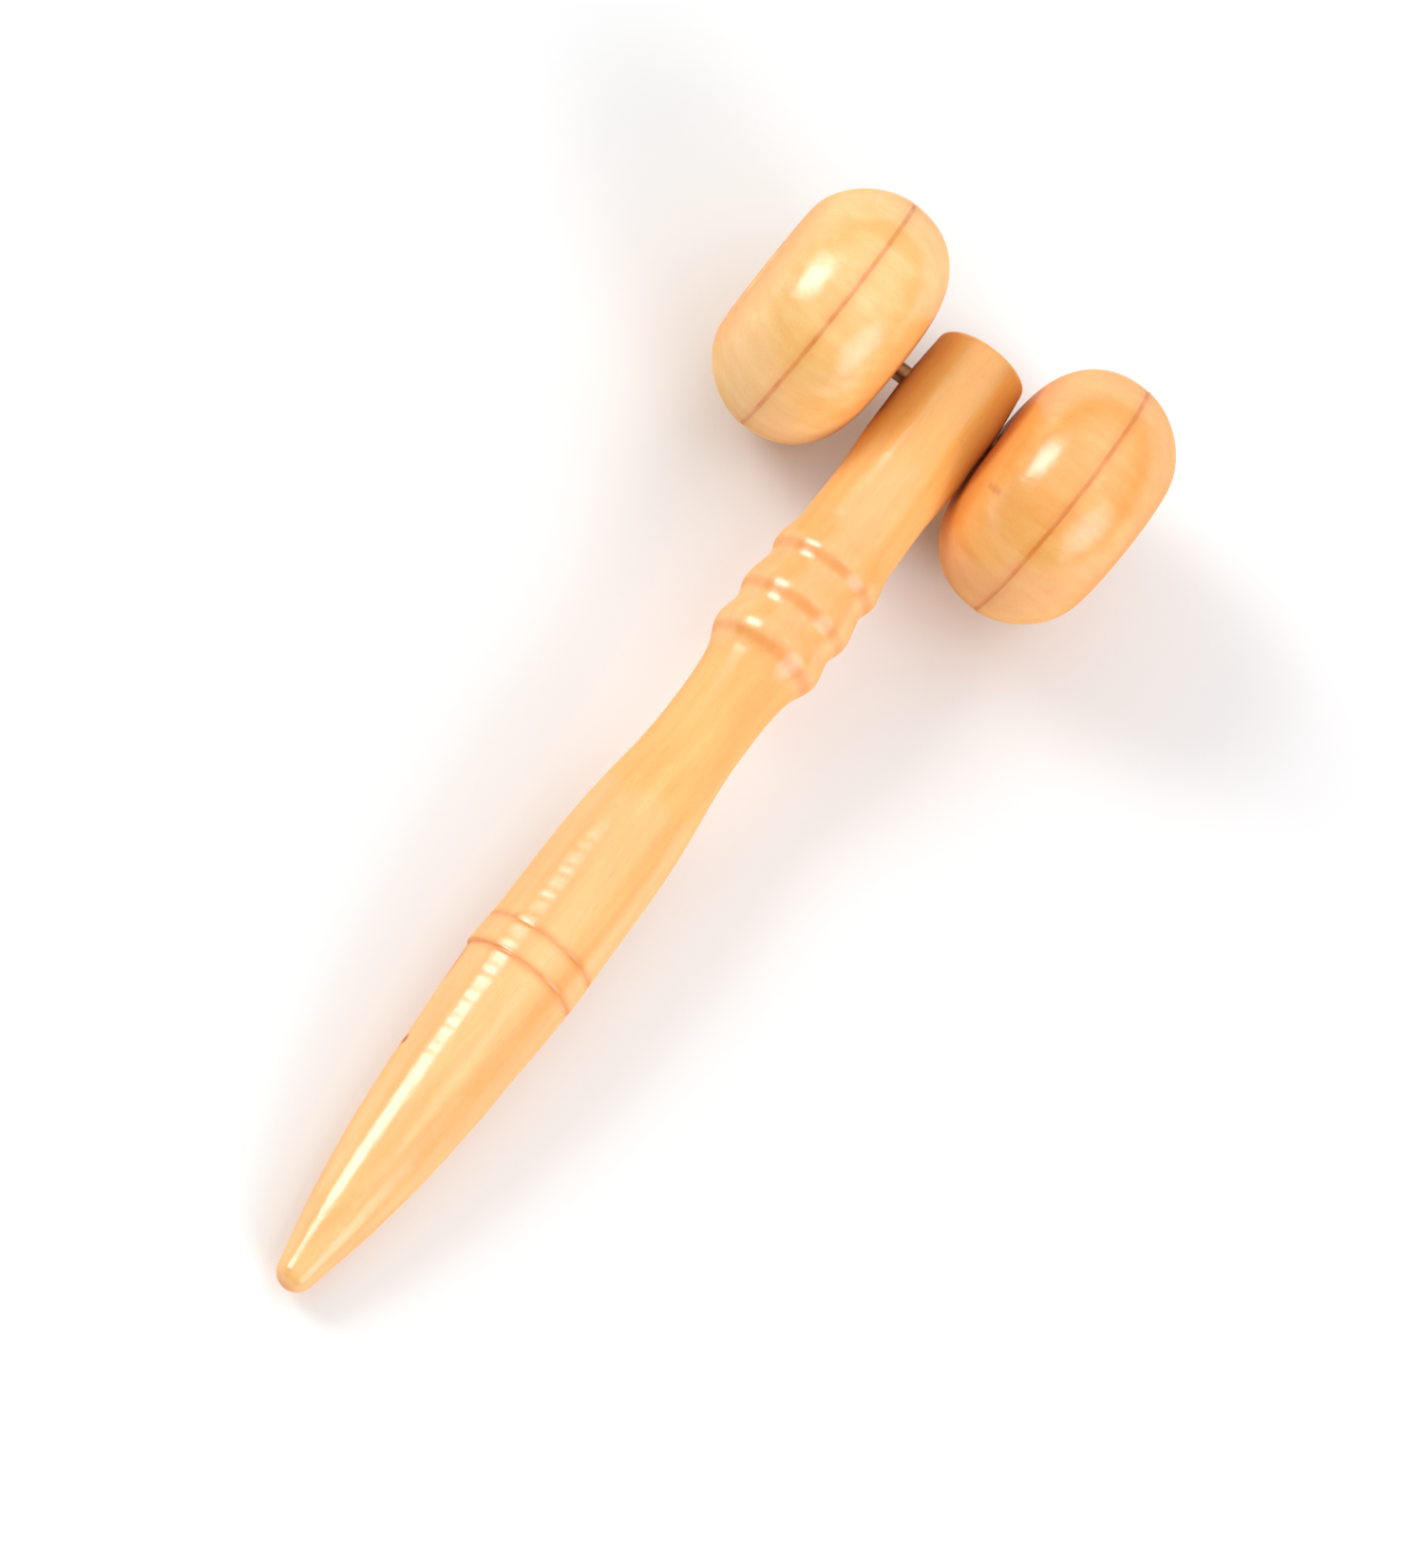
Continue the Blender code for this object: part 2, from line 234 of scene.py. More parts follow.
# Varnish and metal. The varnish's weight falls from face on to edge on, and it is worn thin on the
# handle's neck. Bump distances are metres.
FILM_FACING = (0.35, 0.9)
FILM_WEIGHT = (0.95, 0.12)
WORN_STATIONS = (90.0, 113.0)
WORN_FADE_BEFORE = 4
WORN_FADE_AFTER = 3
WORN_THINNING = 0.75
WOOD_ROUGHNESS = (0.42, 0.56)
WOOD_BUMP = {"Strength": 0.15, "Distance": 0.00005}
FILM_BUMP = {"Strength": 0.5, "Distance": 0.0001}
VARNISH = {"Coat_Roughness": 0.23, "Coat_IOR": 1.8, "IOR": 1.4, "Specular_IOR_Level": 0.1}
STEEL_BUMP = {"Strength": 0.2, "Distance": 0.00003}
AXLE_ROUGHNESS = 0.30
ZINC_ROUGHNESS = 0.24
ROUGHNESS_SPREAD = 0.12
TARNISH = (0.36, 0.70)
TARNISH_STRENGTH = 0.5

# Where the tree's heart lay beside each wooden piece's axis, and the seed that moves its figure.
# Each roller has its flecks, heart, tones and seed.
HANDLE_HEART = (38.0, -24.0)
HANDLE_SEED = 1
ROLLERS = {
    "left": ((), (-30.0, 26.0), LEFT_ROLLER_TONES, 2),
    "right": (RIGHT_ROLLER_FLECKS, (34.0, 30.0), RIGHT_ROLLER_TONES, 3),
}

# Studio, in metres. Each softbox is the direction it lies in, its width and height in degrees as
# the object sees them, its radiance and its colour. The sky lists (height of direction, radiance),
# and it is brighter towards the head's end.
FLOOR_REACH = 12.0
FLOOR_ROUGHNESS = 0.8
LIGHT_TARGET = Vector((0.02, 0.0, 0.02))
LIGHT_DISTANCE = 6.0
SOFTBOXES = {
    "window": ((0.03, 0.838, 0.545), 34, 32, 2.5, (0.95, 0.98, 1.0)),
    "window_middle": ((-0.02, 0.838, 0.545), 22, 25, 6.0, (0.95, 0.98, 1.0)),
    "far_window": ((-0.36, -0.80, 0.47), 44, 36, 1.7, (0.98, 0.97, 1.0)),
    "far_window_middle": ((-0.36, -0.80, 0.47), 28, 26, 5.0, (0.98, 0.97, 1.0)),
    "ceiling_lamp": ((0.03, -0.26, 0.965), 18, 18, 1.2, (1.0, 0.98, 0.95)),
}
SKY = ((0.0, 0.5), (0.08, 0.5), (0.25, 0.1), (1.0, 1.05))
SKY_LEAN = 0.85

# Camera: where it looks, how far off it stands in metres, and which way it is turned.
CAMERA_TARGET = Vector((0.0012, -0.0056, 0.0205))
CAMERA_DISTANCE = 1.0447
CAMERA_HEADING = math.radians(-9.903)
CAMERA_DOWN = math.radians(64.775)
CAMERA_ROLL = math.radians(47.4)
CAMERA_LENS = 168.0
CAMERA_SENSOR = 36.0
CAMERA_FAR_LIMIT = 20.0


def places():
    """Frames of the pieces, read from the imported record: each one's Z is its own axis."""
    record = frame["record"]
    end = next(mount for mount in record["mounts"] if mount["name"] == "head_end")
    along = Vector(end["axis"]).normalized()
    turn = Vector((0, 0, 1)).rotation_difference(along).to_matrix().to_4x4()
    tip = Vector(end["pos_m"]) - along * HANDLE_LENGTH * MM
    found = {"handle": Matrix.Translation(tip) @ turn}
    for joint in frame["joints"]:
        if joint["type"] != "hinge":
            continue
        side_name = joint["name"].split("_")[0]
        side = 1 if side_name == "left" else -1
        outwards = Matrix.Rotation(-side * math.pi / 2, 4, "X")
        found[side_name] = Matrix.Translation(Vector(joint["pos_m"])) @ outwards
    return found


def smooth_curve(knots, position):
    """Height at a position on a smooth curve through the knots (cubic, with chord tangents)."""
    last = len(knots) - 1
    index = 0
    while index < last - 1 and position > knots[index + 1][0]:
        index += 1
    (x0, y0), (x1, y1) = knots[index], knots[index + 1]
    before = knots[max(index - 1, 0)]
    after = knots[min(index + 2, last)]
    slope0 = (y1 - before[1]) / (x1 - before[0])
    slope1 = (after[1] - y0) / (after[0] - x0)
    width = x1 - x0
    u = (position - x0) / width
    return (
        y0 * (1 + 2 * u) * (1 - u) ** 2
        + slope0 * width * u * (1 - u) ** 2
        + y1 * u * u * (3 - 2 * u)
        - slope1 * width * u * u * (1 - u)
    )


def arc(centre, radius, start, end, steps):
    """Points (radius, height) on an arc about a centre, from one angle to the other in degrees."""
    points = []
    for step in range(steps + 1):
        angle = math.radians(start + (end - start) * step / steps)
        points.append((centre[0] + radius * math.cos(angle), centre[1] + radius * math.sin(angle)))
    return points


def side_radius(station):
    """Radius of the handle between the nose and the head, without its ripples."""
    if station < SIDE_KNOTS[-1][0]:
        return smooth_curve(SIDE_KNOTS, station)
    u = max(0.0, (station - HEAD_TAPER_STATION) / (HANDLE_LENGTH - HEAD_TAPER_STATION))
    return HEAD_RADIUS + (HEAD_END_RADIUS - HEAD_RADIUS) * u


def score_cut(offset, half_width, depth):
    """Depth of a V-shaped scored line at an offset from its middle, with softened lips."""
    u = min(1.0, abs(offset) / half_width)
    return depth * (1 - u) ** LIP_SOFTNESS


def waves(station):
    """The slight waviness that hand sanding leaves along the handle."""
    return sum(
        height * math.sin(math.tau * station / length + WAVE_PHASE) for length, height in WAVES
    )


def chatter(angle, station):
    """Ripples left by the gouge's chatter on one side of the swell. They lean a little."""
    fade = float(np.interp(station, CHATTER_STATIONS, CHATTER_STRENGTHS))
    fade *= max(0.0, math.cos(angle - CHATTER_SIDE)) ** CHATTER_NARROWNESS
    if fade == 0.0:
        return 0.0
    leaned = station + CHATTER_LEAN * math.sin(angle + CHATTER_LEAN_PHASE)
    return fade * sum(height * math.sin(math.tau * leaned / length) for length, height in CHATTER)


def handle_ledge(angle, station):
    """How far the band between the two rings stands out where the cut ran off centre."""
    low = RING_STATIONS[0]
    high = RING_STATIONS[1] + LEDGE_PAST_RING
    if not low < station < high:
        return 0.0
    u = (station - low) / (high - low)
    rise = min(1.0, (station - low) / LEDGE_RISE)
    reach = max(0.0, math.cos(angle - LEDGE_SIDE)) ** 2
    return LEDGE_HEIGHT * rise * (1 - u) ** LEDGE_FALL * reach


def head_bulge(angle, station):
    """How far the head stands out towards the right roller, which almost touches it at rest."""
    if station > HANDLE_LENGTH - HEAD_EDGE_RADIUS:
        return 0.0
    fade = float(np.interp(station, BULGE_STATIONS, BULGE_STRENGTHS))
    return HEAD_BULGE * fade * max(0.0, -math.cos(angle - LEDGE_SIDE)) ** 2


def handle_swell(angle, station):
    """Extra radius where the handle isn't quite round."""
    return handle_ledge(angle, station) + head_bulge(angle, station) + chatter(angle, station)


def handle_outline():
    """(radius, height) down the handle's side, head end first, with the tip at height 0."""
    last = HANDLE_LENGTH - HEAD_EDGE_RADIUS
    ledge = RING_STATIONS[0]
    stations = list(np.arange(SIDE_KNOTS[0][0], last, STATION_STEP))
    stations += list(np.arange(ledge, ledge + LEDGE_DETAIL, LEDGE_STEP))
    for ring in RING_STATIONS:
        stations += list(ring + RING_HALF_WIDTH * RING_POINTS)
    outline = arc((0.0, NOSE_RADIUS + NOSE_CLEARANCE), NOSE_RADIUS, *NOSE_ARC)
    for station in sorted(set(np.round(stations, 3))):
        radius = side_radius(station) + waves(station) - SURFACE_CLEARANCE
        for ring in RING_STATIONS:
            radius -= score_cut(station - ring, RING_HALF_WIDTH, RING_DEPTH)
        outline.append((radius, float(station)))
    edge = (HEAD_END_RADIUS - HEAD_EDGE_RADIUS, last)
    outline += arc(edge, HEAD_EDGE_RADIUS, *HEAD_EDGE_ARC)
    outline += [(radius, HANDLE_LENGTH) for radius in HEAD_FACE_RADII]
    outline[0] = (0.0, NOSE_CLEARANCE)
    return outline[::-1]


def shoulder(half, face_radius, fullness):
    """(radius, height) on a roller's shoulder, from its flat end down to its widest place."""
    rise = ROLLER_RADIUS - face_radius
    points = []
    for step in range(SHOULDER_STEPS + 1):
        angle = math.pi / 2 * step / SHOULDER_STEPS
        radius = face_radius + rise * math.sin(angle) ** (2 / fullness)
        points.append((radius, half * math.cos(angle) ** (2 / fullness)))
    return points


def scored(points):
    """The same points with the roller's scored line cut at height 0, and extra points there."""
    clearing = SCORE_HALF_WIDTH * SCORE_CLEARING
    line = []
    for height in SCORE_HALF_WIDTH * SCORE_POINTS:
        cut = score_cut(height, SCORE_HALF_WIDTH, SCORE_DEPTH)
        line.append((ROLLER_RADIUS - cut, float(height)))
    above = [point for point in points if point[1] > clearing]
    below = [point for point in points if point[1] < -clearing]
    return above + line + below


def roller_outline():
    """Closed section of a roller, outer face on top, from the counterbore's rim round to it."""
    outer = shoulder(ROLLER_OUTER_HALF, OUTER_FACE_RADIUS, OUTER_FULLNESS)
    inner = shoulder(ROLLER_INNER_HALF, INNER_FACE_RADIUS, INNER_FULLNESS)
    inner = [(radius, -height) for radius, height in reversed(inner)]
    floor = ROLLER_OUTER_HALF - COUNTERBORE_DEPTH
    return (
        [(COUNTERBORE_RADIUS + HOLE_CHAMFER, ROLLER_OUTER_HALF)]
        + [(radius, ROLLER_OUTER_HALF) for radius in OUTER_FACE_RADII]
        + scored(outer + inner)
        + [(radius, -ROLLER_INNER_HALF) for radius in INNER_FACE_RADII]
        + [(BORE_RADIUS + HOLE_CHAMFER, -ROLLER_INNER_HALF)]
        + [(BORE_RADIUS, -ROLLER_INNER_HALF + HOLE_CHAMFER), (BORE_RADIUS, floor)]
        + [(FLOOR_MIDDLE_RADIUS, floor), (COUNTERBORE_RADIUS, floor)]
        + [(COUNTERBORE_RADIUS, ROLLER_OUTER_HALF - HOLE_CHAMFER)]
    )


def washer_outline():
    """Closed section of a flat washer with softened outer edges, centred on its thickness."""
    half = WASHER_THICKNESS / 2
    return (
        [(BORE_RADIUS, half)]
        + arc((WASHER_RADIUS - STEEL_EDGE, half - STEEL_EDGE), STEEL_EDGE, 90, 0, 4)
        + arc((WASHER_RADIUS - STEEL_EDGE, STEEL_EDGE - half), STEEL_EDGE, 0, -90, 4)
        + [(BORE_RADIUS, -half)]
    )


def cap_outline():
    """A push-on cap: a shallow dome with a rounded edge, open below to take the axle's end."""
    socket = CAP_LENGTH - CAP_CROWN
    rim = CAP_RADIUS - CAP_EDGE_RADIUS
    dome = [(rim * u, CAP_LENGTH - CAP_DOME_FALL * u * u) for u in np.linspace(0.0, 1.0, 10)]
    edge = arc((rim, CAP_LENGTH - CAP_DOME_FALL - CAP_EDGE_RADIUS), CAP_EDGE_RADIUS, 90, 0, 10)
    return (
        dome + edge[1:]
        + [(CAP_RADIUS, STEEL_EDGE), (CAP_RADIUS - STEEL_EDGE, 0.0), (BORE_RADIUS, 0.0)]
        + [(BORE_RADIUS, socket), (0.0, socket)]
    )


def axle_outline(half):
    """(radius, height) down a rod of a half length, with rounded ends."""
    edge = (AXLE_RADIUS - AXLE_EDGE_RADIUS, half - AXLE_EDGE_RADIUS)
    end = arc(edge, AXLE_EDGE_RADIUS, 90, 0, 5)
    other_end = [(radius, -height) for radius, height in reversed(end)]
    return [(0.0, half)] + end + other_end + [(0.0, -half)]


def turned(name, outline, segments, place, ring=False, swell=None):
    """A fine surface turned about a place's Z axis, from an outline in millimetres.

    The mesh keeps the world's axes and the object stands at the place's origin. ring joins the
    outline's last point to its first. swell gives an extra radius for an angle round the axis and
    a height.
    """
    spin = place.to_3x3()
    angles = np.linspace(0.0, math.tau, segments, endpoint=False)
    mesh_maker = bmesh.new()
    rows = []
    for radius, height in outline:
        if radius < ON_AXIS:
            rows.append([mesh_maker.verts.new(spin @ Vector((0.0, 0.0, height * MM)))])
            continue
        row = []
        for angle in angles:
            reach = radius + (swell(angle, height) if swell else 0.0)
            point = Vector((reach * math.cos(angle), reach * math.sin(angle), height)) * MM
            row.append(mesh_maker.verts.new(spin @ point))
        rows.append(row)
    pairs = list(zip(rows, rows[1:]))
    if ring:
        pairs.append((rows[-1], rows[0]))
    for upper, lower in pairs:
        for index in range(segments):
            after = (index + 1) % segments
            corners = [
                upper[index % len(upper)], lower[index % len(lower)],
                lower[after % len(lower)], upper[after % len(upper)],
            ]
            corners = [corner for n, corner in enumerate(corners) if corner not in corners[:n]]
            if len(corners) > 2:
                mesh_maker.faces.new(corners)
    mesh = bpy.data.meshes.new(name)
    mesh_maker.to_mesh(mesh)
    mesh_maker.free()
    mesh.shade_smooth()
    mesh.set_sharp_from_angle(angle=SHARP_ANGLE)
    obj = bpy.data.objects.new(name, mesh)
    bpy.context.scene.collection.objects.link(obj)
    obj.location = place.translation
    return obj


def bore_head(handle):
    """Cuts the axle's hole across the head."""
    across = PLACES["left"].copy()
    middle = (PLACES["left"].translation + PLACES["right"].translation) / 2
    across.translation = Vector((middle.x, handle.location.y, middle.z))
    outline = [
        (0.0, CUTTER_REACH), (HEAD_BORE_RADIUS, CUTTER_REACH),
        (HEAD_BORE_RADIUS, -CUTTER_REACH), (0.0, -CUTTER_REACH),
    ]
    cutter = turned("head_bore_cutter", outline, STEEL_SEGMENTS, across)
    bpy.context.view_layer.update()
    cut = handle.modifiers.new("axle_bore", "BOOLEAN")
    cut.operation = "DIFFERENCE"
    cut.solver = "EXACT"
    cut.object = cutter
    graph = bpy.context.evaluated_depsgraph_get()
    handle.data = bpy.data.meshes.new_from_object(handle.evaluated_get(graph))
    handle.modifiers.clear()
    bpy.data.objects.remove(cutter)


def linear(red, green, blue):
    """A display colour, 0 to 255 a channel, as linear light."""
    def channel(value):
        value /= 255
        return value / 12.92 if value <= 0.04045 else ((value + 0.055) / 1.055) ** 2.4
    return (channel(red), channel(green), channel(blue), 1.0)


def wood_tones(pale, mid, warm):
    """One wood's colours by name, in linear light."""
    tones = {
        "pale": pale, "mid": mid, "warm": warm, "brown": BROWN, "scorch": SCORCH, "amber": AMBER,
    }
    return {name: linear(*colour) for name, colour in tones.items()}


class Nodes:
    """A short way to add and join shader nodes. An input is a socket to link or a value to set."""

    def __init__(self, name):
        self.material = bpy.data.materials.new(name)
        self.material.use_nodes = True
        self.tree = self.material.node_tree
        self.shader = self.tree.nodes["Principled BSDF"]

    def join(self, value, socket):
        """Links a socket to another one, or sets the value of it."""
        if isinstance(value, bpy.types.NodeSocket):
            self.tree.links.new(value, socket)
        else:
            socket.default_value = value

    def add(self, kind, inputs=None, **settings):
        """A new shader node of a kind, with its inputs joined and its settings made."""
        node = self.tree.nodes.new("ShaderNode" + kind)
        for key, value in settings.items():
            setattr(node, key, value)
        for key, value in (inputs or {}).items():
            self.join(value, node.inputs[key])
        return node

    def math(self, operation, first, second=0.0, third=0.0):
        """The result of a sum on up to three numbers."""
        inputs = {0: first, 1: second, 2: third}
        return self.add("Math", inputs, operation=operation).outputs[0]

    def scaled(self, vector, scale):
        """A vector with its three parts scaled."""
        inputs = {"Vector": vector, "Scale": scale}
        return self.add("Mapping", inputs).outputs["Vector"]

    def noise(self, vector, scale, detail, roughness=0.5):
        """Smooth noise, about 0.5 on average."""
        inputs = {"Vector": vector, "Scale": scale, "Detail": detail, "Roughness": roughness}
        return self.add("TexNoise", inputs).outputs["Fac"]

    def range(self, value, low, high, to_low=0.0, to_high=1.0):
        """A value eased from one range to another, and held at its ends."""
        inputs = {
            "Value": value, "From Min": low, "From Max": high, "To Min": to_low, "To Max": to_high,
        }
        return self.add("MapRange", inputs, interpolation_type="SMOOTHSTEP").outputs["Result"]

    def blend(self, factor, first, second, mode="MIX"):
        """The first colour with the second laid over it, as far as the factor says."""
        inputs = {0: factor, 6: first, 7: second}
        return self.add("Mix", inputs, data_type="RGBA", blend_type=mode).outputs[2]

    def set(self, **values):
        """Joins values to the shader's own inputs, named with _ for each space."""
        for key, value in values.items():
            self.join(value, self.shader.inputs[key.replace("_", " ")])


def piece_space(n, turn):
    """Position in millimetres and the normal, both in a piece's own axes, its Z along the grain."""
    inverse = turn.to_3x3().inverted().to_euler()
    texture = n.add("TexCoord")
    scale = (1 / MM, 1 / MM, 1 / MM)
    place = n.add(
        "Mapping", {"Vector": texture.outputs["Object"], "Rotation": inverse, "Scale": scale}
    )
    normal = n.add(
        "Mapping", {"Vector": texture.outputs["Normal"], "Rotation": inverse}, vector_type="VECTOR"
    )
    return place.outputs["Vector"], normal.outputs["Vector"]


def late_wood(n, mm, moved, heart):
    """Mask of the dark side of each year's ring, which ends sharply at the next year."""
    wander = n.noise(n.scaled(moved, YEAR_WANDER_SCALE), 1.0, 3.0)
    from_heart = n.add("VectorMath", {0: mm, 1: (-heart[0], -heart[1], 0.0)}).outputs[0]
    taper = (1.0, 1.0, YEAR_TAPER)
    flat = n.add("VectorMath", {0: from_heart, 1: taper}, operation="MULTIPLY").outputs[0]
    distance = n.add("VectorMath", {0: flat}, operation="LENGTH").outputs["Value"]
    grown = n.math("MULTIPLY_ADD", wander, YEAR_WANDER, distance)
    season = n.math("FRACT", n.math("DIVIDE", grown, YEAR_WIDTH))
    return n.math("MULTIPLY", n.range(season, *LATE_SEASON), n.range(season, *YEAR_END))


def grain_layers(n, mm, heart, seed):
    """Masks of the wood's figure by name, its fibres and the unevenness of the varnish's skin."""
    shift = tuple(seed * step for step in SEED_STEP)
    moved = n.add("VectorMath", {0: mm, 1: shift}).outputs[0]
    grain = {"late": late_wood(n, mm, moved, heart)}
    for figure, (scale, detail, none, full) in FIGURES.items():
        grain[figure] = n.range(n.noise(n.scaled(moved, scale), 1.0, detail), none, full)
    grain["fibres"] = n.noise(n.scaled(moved, FIBRE_SCALE), 1.0, 6.0, 0.6)
    grain["fibre_lines"] = n.range(grain["fibres"], *FIBRE_LINES)
    grain["skin"] = n.noise(n.scaled(moved, SKIN_SCALE), 1.0, 2.0, 0.45)
    return grain


def band_mark(n, height, middle, half_width, fade):
    """Mask of a band round a piece, from its middle's height and the fade in half widths."""
    off = n.math("ABSOLUTE", n.math("SUBTRACT", height, middle))
    return n.range(off, half_width * fade[0], half_width * fade[1])


def brown_mark(n, mm, fibres, fleck):
    """Mask of a small long brown mark, made ragged by the fibres, up to its own strength."""
    place, half_length, half_width, strength = fleck
    scale = (1 / half_width, 1 / half_width, 1 / half_length)
    beside = n.add("VectorMath", {0: mm, 1: tuple(-c for c in place)}).outputs[0]
    beside = n.add("VectorMath", {0: beside, 1: scale}, operation="MULTIPLY").outputs[0]
    reach = n.add("VectorMath", {0: beside}, operation="LENGTH").outputs["Value"]
    reach = n.math("MULTIPLY_ADD", fibres, FLECK_RAGGEDNESS, reach)
    return n.range(reach, *FLECK_FADE, 0.0, strength)


def contact_shade_mark(n, mm, height, contact_shade):
    """Mask of painted shade where pieces meet: a roller's inner face, or the head's two sides."""
    axis, clean, dark = contact_shade
    across = n.add("SeparateXYZ", {0: mm}).outputs[axis]
    if axis == "Z":
        across = n.math("MULTIPLY", across, -1.0)
    else:
        on_head = n.range(height, *HEAD_CONTACT_SHADE_STATIONS)
        across = n.math("MULTIPLY", n.math("ABSOLUTE", across), on_head)
    return n.range(across, clean, dark, 0.0, CONTACT_SHADE_STRENGTH)


def varnish(n, grain, height, worn):
    """Clear gloss varnish that follows the wood's fibres below and has its own uneven skin."""
    rough = n.range(grain["fibres"], 0.2, 0.8, *WOOD_ROUGHNESS)
    relief = n.math("MULTIPLY_ADD", grain["pores"], -0.5, n.math("MULTIPLY", grain["fibres"], 0.35))
    wood_bump = n.add("Bump", {"Height": relief, **WOOD_BUMP}).outputs["Normal"]
    film_inputs = {"Height": grain["skin"], "Normal": wood_bump, **FILM_BUMP}
    film_bump = n.add("Bump", film_inputs).outputs["Normal"]
    slant = n.add("LayerWeight", {"Blend": 0.5}).outputs["Facing"]
    film = n.range(slant, *FILM_FACING, *FILM_WEIGHT)
    if worn:
        low, high = worn
        start = n.range(height, low - WORN_FADE_BEFORE, low)
        end = n.range(height, high + WORN_FADE_AFTER, high)
        thin = n.math("MULTIPLY", start, end)
        film = n.math("MULTIPLY", film, n.math("MULTIPLY_ADD", thin, -WORN_THINNING, 1.0))
    n.set(Roughness=rough, Normal=wood_bump, Coat_Normal=film_bump, Coat_Weight=film, **VARNISH)


def varnished_wood(
    name, turn, scores, flecks, heart, tones, seed, bands=(), head_shade=None, contact_shade=None, worn=None
):
    """Pale turned hardwood under clear gloss varnish. The grain runs along the piece's own axis.

    scores lists (height, half width, strength) of the scorched lines round the piece, and bands the
    same for amber bands: a warm band round each ring, and painted shade on bead walls that face
    away from the lights. flecks lists brown marks as (place, half length, half width, strength):
    flecks in the wood, and on the handle also painted shade on the swell's left edge. heart is
    where the tree's heart lay beside the axis, all in millimetres. head_shade gives the two heights
    between which the wood takes a warmer, darker tint: painted shade and orange bounce light from
    the rollers, with some warmer wood. contact_shade gives an axis and the two places along it
    between which the wood turns dark: painted shade where the piece meets its neighbour. worn
    gives the two heights between which the varnish is worn thin.
    """
    n = Nodes(name)
    mm, normal = piece_space(n, turn)
    grain = grain_layers(n, mm, heart, seed)
    tone = wood_tones(*tones)
    height = n.add("SeparateXYZ", {0: mm}).outputs["Z"]

    colour = n.blend(grain["streaks"], tone["pale"], tone["mid"])
    for figure, strength, shade in SHADING:
        colour = n.blend(n.math("MULTIPLY", grain[figure], strength), colour, tone[shade])
    end_grain = n.math("ABSOLUTE", n.add("SeparateXYZ", {0: normal}).outputs["Z"])
    warmth = n.range(end_grain, *END_GRAIN, 0.0, END_GRAIN_WARMTH)
    colour = n.blend(warmth, colour, tone["warm"])
    years = n.math("MULTIPLY", n.range(end_grain, END_GRAIN_YEARS_FROM, 1.0), grain["late"])
    colour = n.blend(n.math("MULTIPLY", years, END_GRAIN_YEARS), colour, tone["brown"])
    # Painted shade and bounce light over the head, laid on as a tint.
    if head_shade:
        colour = n.blend(n.range(height, *head_shade), colour, HEAD_SHADE_TINT, "MULTIPLY")

    uneven = n.math("MULTIPLY_ADD", grain["blotches"], UNEVENNESS, 1 - UNEVENNESS)
    # Amber bands: a warm band round each ring, and painted shade on the handle's bead walls.
    for middle, half_width, strength in bands:
        mark = n.math("MULTIPLY", band_mark(n, height, middle, half_width, AMBER_FADE), uneven)
        colour = n.blend(n.math("MULTIPLY", mark, strength), colour, tone["amber"])
    for middle, half_width, strength in scores:
        core = band_mark(n, height, middle, half_width, SCORE_FADE)
        halo = band_mark(n, height, middle, half_width, HALO_FADE)
        mark = n.math("MAXIMUM", core, n.math("MULTIPLY", halo, HALO_STRENGTH))
        mark = n.math("MULTIPLY", mark, uneven)
        colour = n.blend(n.math("MULTIPLY", mark, strength), colour, tone["scorch"])
    # Brown marks: flecks in the wood, and on the handle also painted shade on the swell's edge.
    for fleck in flecks:
        colour = n.blend(brown_mark(n, mm, grain["fibres"], fleck), colour, tone["brown"])
    # Painted shade where the piece meets its neighbour.
    if contact_shade:
        colour = n.blend(contact_shade_mark(n, mm, height, contact_shade), colour, tone["brown"])
    n.set(Base_Color=colour)
    varnish(n, grain, height, worn)
    return n.material


def worn_steel(name, turn, colour, shade, roughness, turned_marks=False):
    """Metal with fine marks, along the piece or turned round it, and an uneven film of tarnish."""
    n = Nodes(name)
    mm = piece_space(n, turn)[0]
    if turned_marks:
        across = n.add("VectorMath", {0: mm, 1: (1.0, 1.0, 0.0)}, operation="MULTIPLY").outputs[0]
        radius = n.add("VectorMath", {0: across}, operation="LENGTH").outputs["Value"]
        marks = n.noise(n.add("CombineXYZ", {0: radius}).outputs[0], 9.0, 3.0)
    else:
        marks = n.noise(n.scaled(mm, (14.0, 14.0, 0.6)), 1.0, 3.0)
    film = n.noise(n.scaled(mm, (0.9, 0.9, 0.5)), 1.0, 4.0, 0.6)
    tarnish = n.range(film, *TARNISH)
    mixed = n.blend(n.math("MULTIPLY", tarnish, TARNISH_STRENGTH), linear(*colour), linear(*shade))
    uneven = n.math("MULTIPLY_ADD", tarnish, ROUGHNESS_SPREAD, roughness)
    uneven = n.math("MULTIPLY_ADD", marks, ROUGHNESS_SPREAD, uneven)
    bump = n.add("Bump", {"Height": marks, **STEEL_BUMP}).outputs["Normal"]
    n.set(Base_Color=mixed, Metallic=1.0, Roughness=uneven, Normal=bump)
    return n.material


def adopt(piece, body, node, material):
    """Hands a finished piece to the frame in place of its CAD node."""
    piece.data.materials.clear()
    piece.data.materials.append(material)
    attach(piece, body)
    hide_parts(node)


